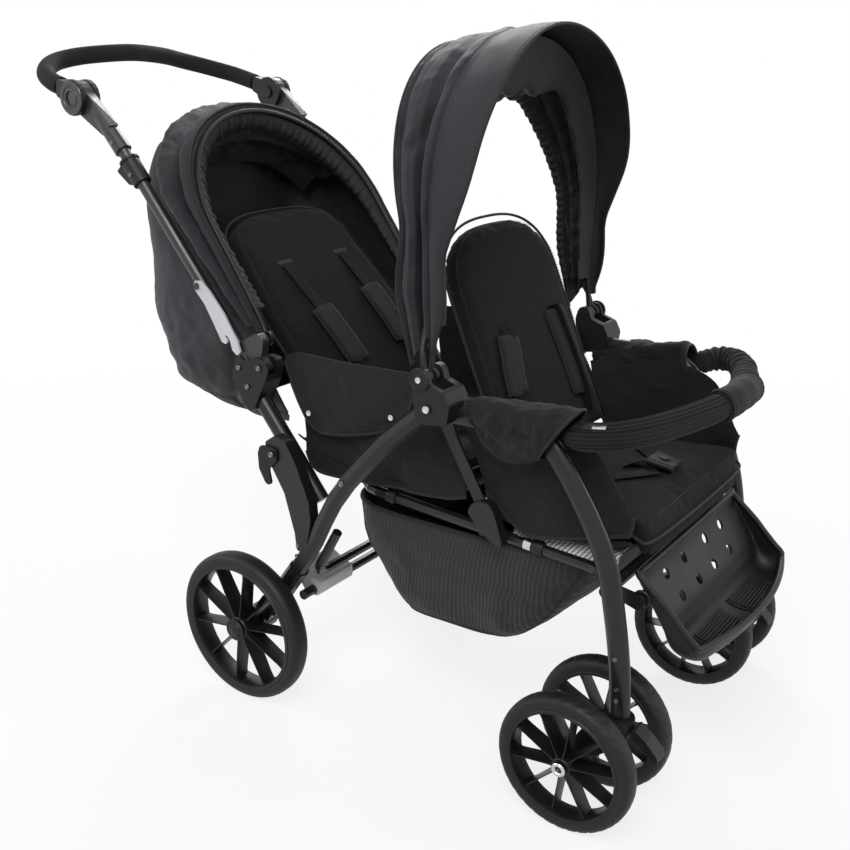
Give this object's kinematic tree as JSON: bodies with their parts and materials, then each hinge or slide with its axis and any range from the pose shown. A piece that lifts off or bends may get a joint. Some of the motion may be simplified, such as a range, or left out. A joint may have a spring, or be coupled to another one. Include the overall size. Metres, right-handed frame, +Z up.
{
  "type": "double stroller",
  "caption": "Tandem stroller with one seat behind the other, hooded seats, a bumper bar, twin swivel front wheels and a folding steel frame.",
  "frame": {"origin": "middle of the outline on the floor", "axes": "+Z up, the stroller faces -Y and its own right-hand side is at -X"},
  "size_m": [0.612, 1.2667, 1.0504],
  "materials": {
    "frame_paint": "satin dark grey powder coat",
    "black_plastic": "matte",
    "light_grey_plastic": "matte",
    "tyre_rubber": "matte foam rubber",
    "grip_foam": "foam",
    "black_fabric": "woven, padded",
    "hood_fabric": "satin woven",
    "mesh_fabric": "ribbed mesh"
  },
  "bodies": {
    "front_frame": {"front_leg_right": "frame_paint", "front_leg_left": "frame_paint", "knuckle_right": "black_plastic", "knuckle_left": "black_plastic", "side_rail_right": "frame_paint", "side_rail_left": "frame_paint", "seat_strut_right": "frame_paint", "seat_strut_left": "frame_paint", "front_cross_tube": "frame_paint", "front_seat_cloth": "black_fabric", "front_seat_pad": "black_fabric", "basket": "mesh_fabric"},
    "rear_legs": {"rear_arm_right": "frame_paint", "rear_arm_left": "frame_paint", "lower_tube_right": "frame_paint", "lower_tube_left": "frame_paint", "hinge_bracket_right": "black_plastic", "hinge_bracket_left": "black_plastic", "rear_axle_tube": "frame_paint", "rear_cross_tube": "frame_paint"},
    "seat_rails": {"rear_seat_frame": "frame_paint", "rear_seat_cloth": "black_fabric", "rear_seat_pad": "black_fabric"},
    "push_frame": {"push_tube_right": "frame_paint", "push_tube_left": "frame_paint", "handle_sleeve_right": "black_plastic", "handle_sleeve_left": "black_plastic"},
    "handle": {"handle_bar": "frame_paint", "handle_grip": "grip_foam"},
    "front_canopy": {"front_canopy_bow": "black_plastic", "front_hood": "hood_fabric"},
    "front_visor": {"front_visor_bow": "black_plastic", "front_visor": "hood_fabric"},
    "rear_canopy": {"rear_canopy_bow": "black_plastic", "rear_hood": "hood_fabric"},
    "front_backrest": {"front_backrest_pad": "black_fabric"},
    "rear_backrest": {"rear_backrest_pad": "black_fabric", "rear_shell": "hood_fabric"},
    "footrest": {"footrest": "black_plastic"},
    "bumper_bar": {"bumper_bar": "black_fabric"},
    "brake": {"brake_pedal": "light_grey_plastic"},
    "fold_latch": {"fold_latch": "black_plastic"},
    "storage_hook": {"storage_hook": "light_grey_plastic"},
    "front_outer_wheel_right": {"front_wheel_outer_right": "tyre_rubber"},
    "front_inner_wheel_right": {"front_wheel_inner_right": "tyre_rubber"},
    "rear_wheel_right": {"rear_rim_right": "black_plastic", "rear_tyre_right": "tyre_rubber"},
    "caster_right": {"caster_fork_right": "black_plastic"},
    "swivel_lock_right": {"swivel_lock_right": "black_plastic"},
    "handle_button_right": {"handle_button_right": "black_plastic"},
    "fold_slider_right": {"fold_slider_right": "black_plastic"},
    "front_outer_wheel_left": {"front_wheel_outer_left": "tyre_rubber"},
    "front_inner_wheel_left": {"front_wheel_inner_left": "tyre_rubber"},
    "rear_wheel_left": {"rear_rim_left": "black_plastic", "rear_tyre_left": "tyre_rubber"},
    "caster_left": {"caster_fork_left": "black_plastic"},
    "swivel_lock_left": {"swivel_lock_left": "black_plastic"},
    "handle_button_left": {"handle_button_left": "black_plastic"},
    "fold_slider_left": {"fold_slider_left": "black_plastic"}
  },
  "joints": [
    {"name": "push_fold", "type": "hinge", "parent": "rear_legs", "child": "push_frame", "pos_m": [0, 0.0908, 0.549], "axis": [1, 0, 0], "range_deg": [0, 88], "deforming": ["front_seat_cloth", "front_seat_pad", "basket", "rear_seat_cloth", "rear_seat_pad", "front_hood", "front_visor", "rear_hood", "rear_shell", "front_backrest_pad", "rear_backrest_pad"]},
    {"name": "leg_fold", "type": "hinge", "parent": "front_frame", "child": "rear_legs", "pos_m": [0, -0.2357, 0.5475], "axis": [-1, 0, 0], "range_deg": [0, 28.2]},
    {"name": "rail_fold", "type": "hinge", "parent": "front_frame", "child": "seat_rails", "pos_m": [0, -0.3072, 0.355], "axis": [-1, 0, 0], "range_deg": [0, 21.75]},
    {"name": "handle_tilt", "type": "hinge", "parent": "push_frame", "child": "handle", "pos_m": [0, 0.4653, 0.938], "axis": [1, 0, 0], "range_deg": [-45, 60]},
    {"name": "handle_button_press_right", "type": "slide", "parent": "handle", "child": "handle_button_right", "axis": [-1, 0, 0], "range_m": [0, 0.003], "stiffness_N_per_m": 300, "springref_m": -0.002},
    {"name": "fold_slider_pull_right", "type": "slide", "parent": "push_frame", "child": "fold_slider_right", "axis": [0, 0.6307, 0.776], "range_m": [0, 0.015], "stiffness_N_per_m": 150, "springref_m": -0.01},
    {"name": "caster_swivel_right", "type": "hinge", "parent": "front_frame", "child": "caster_right", "pos_m": [-0.222, -0.5202, 0.15], "axis": [0, 0, 1], "continuous": true},
    {"name": "swivel_lock_tilt_right", "type": "hinge", "parent": "caster_right", "child": "swivel_lock_right", "pos_m": [-0.222, -0.5392, 0.146], "axis": [-1, 0, 0], "range_deg": [0, 16]},
    {"name": "front_outer_wheel_spin_right", "type": "hinge", "parent": "caster_right", "child": "front_outer_wheel_right", "pos_m": [-0.28, -0.4732, 0.1], "axis": [1, 0, 0], "continuous": true},
    {"name": "front_inner_wheel_spin_right", "type": "hinge", "parent": "caster_right", "child": "front_inner_wheel_right", "pos_m": [-0.164, -0.4732, 0.1], "axis": [1, 0, 0], "continuous": true},
    {"name": "rear_wheel_spin_right", "type": "hinge", "parent": "rear_legs", "child": "rear_wheel_right", "pos_m": [-0.2836, 0.1108, 0.125], "axis": [1, 0, 0], "continuous": true},
    {"name": "handle_button_press_left", "type": "slide", "parent": "handle", "child": "handle_button_left", "axis": [1, 0, 0], "range_m": [0, 0.003], "stiffness_N_per_m": 300, "springref_m": -0.002},
    {"name": "fold_slider_pull_left", "type": "slide", "parent": "push_frame", "child": "fold_slider_left", "axis": [0, 0.6307, 0.776], "range_m": [0, 0.015], "stiffness_N_per_m": 150, "springref_m": -0.01},
    {"name": "caster_swivel_left", "type": "hinge", "parent": "front_frame", "child": "caster_left", "pos_m": [0.222, -0.5202, 0.15], "axis": [0, 0, 1], "continuous": true},
    {"name": "swivel_lock_tilt_left", "type": "hinge", "parent": "caster_left", "child": "swivel_lock_left", "pos_m": [0.222, -0.5392, 0.146], "axis": [-1, 0, 0], "range_deg": [0, 16]},
    {"name": "front_outer_wheel_spin_left", "type": "hinge", "parent": "caster_left", "child": "front_outer_wheel_left", "pos_m": [0.28, -0.4732, 0.1], "axis": [1, 0, 0], "continuous": true},
    {"name": "front_inner_wheel_spin_left", "type": "hinge", "parent": "caster_left", "child": "front_inner_wheel_left", "pos_m": [0.164, -0.4732, 0.1], "axis": [1, 0, 0], "continuous": true},
    {"name": "rear_wheel_spin_left", "type": "hinge", "parent": "rear_legs", "child": "rear_wheel_left", "pos_m": [0.2836, 0.1108, 0.125], "axis": [1, 0, 0], "continuous": true},
    {"name": "front_canopy_tilt", "type": "hinge", "parent": "front_frame", "child": "front_canopy", "pos_m": [0, -0.2242, 0.587], "axis": [1, 0, 0], "range_deg": [-40, 8]},
    {"name": "front_visor_tilt", "type": "hinge", "parent": "front_canopy", "child": "front_visor", "pos_m": [0, -0.2242, 0.587], "axis": [1, 0, 0], "range_deg": [0, 30]},
    {"name": "rear_canopy_tilt", "type": "hinge", "parent": "push_frame", "child": "rear_canopy", "pos_m": [0, 0.0948, 0.59], "axis": [1, 0, 0], "range_deg": [0, 55]},
    {"name": "front_recline", "type": "hinge", "parent": "front_frame", "child": "front_backrest", "pos_m": [0, -0.2952, 0.428], "axis": [-1, 0, 0], "range_deg": [0, 30]},
    {"name": "rear_recline", "type": "hinge", "parent": "push_frame", "child": "rear_backrest", "pos_m": [0, 0.0228, 0.44], "axis": [1, 0, 0], "range_deg": [-6, 15]},
    {"name": "footrest_tilt", "type": "hinge", "parent": "front_frame", "child": "footrest", "pos_m": [0, -0.5212, 0.312], "axis": [-1, 0, 0], "range_deg": [0, 25]},
    {"name": "bumper_slide", "type": "slide", "parent": "front_frame", "child": "bumper_bar", "axis": [0, -1, 0], "range_m": [0, 0.06]},
    {"name": "brake_press", "type": "hinge", "parent": "rear_legs", "child": "brake", "pos_m": [-0.1675, 0.0258, 0.182], "axis": [-1, 0, 0], "range_deg": [0, 18]},
    {"name": "fold_latch_press", "type": "hinge", "parent": "rear_legs", "child": "fold_latch", "pos_m": [-0.2594, 0.0528, 0.424], "axis": [-1, 0, 0], "range_deg": [0, 15], "stiffness_Nm_per_rad": 0.3, "springref_deg": -8.59},
    {"name": "storage_hook_swing", "type": "hinge", "parent": "push_frame", "child": "storage_hook", "pos_m": [-0.2392, 0.2128, 0.662], "axis": [1, 0, 0], "range_deg": [-60, 0]}
  ],
  "couplings": [
    {"joint": "leg_fold", "follows": "push_fold", "ratio": 0.3204},
    {"joint": "rail_fold", "follows": "push_fold", "ratio": 0.247}
  ]
}
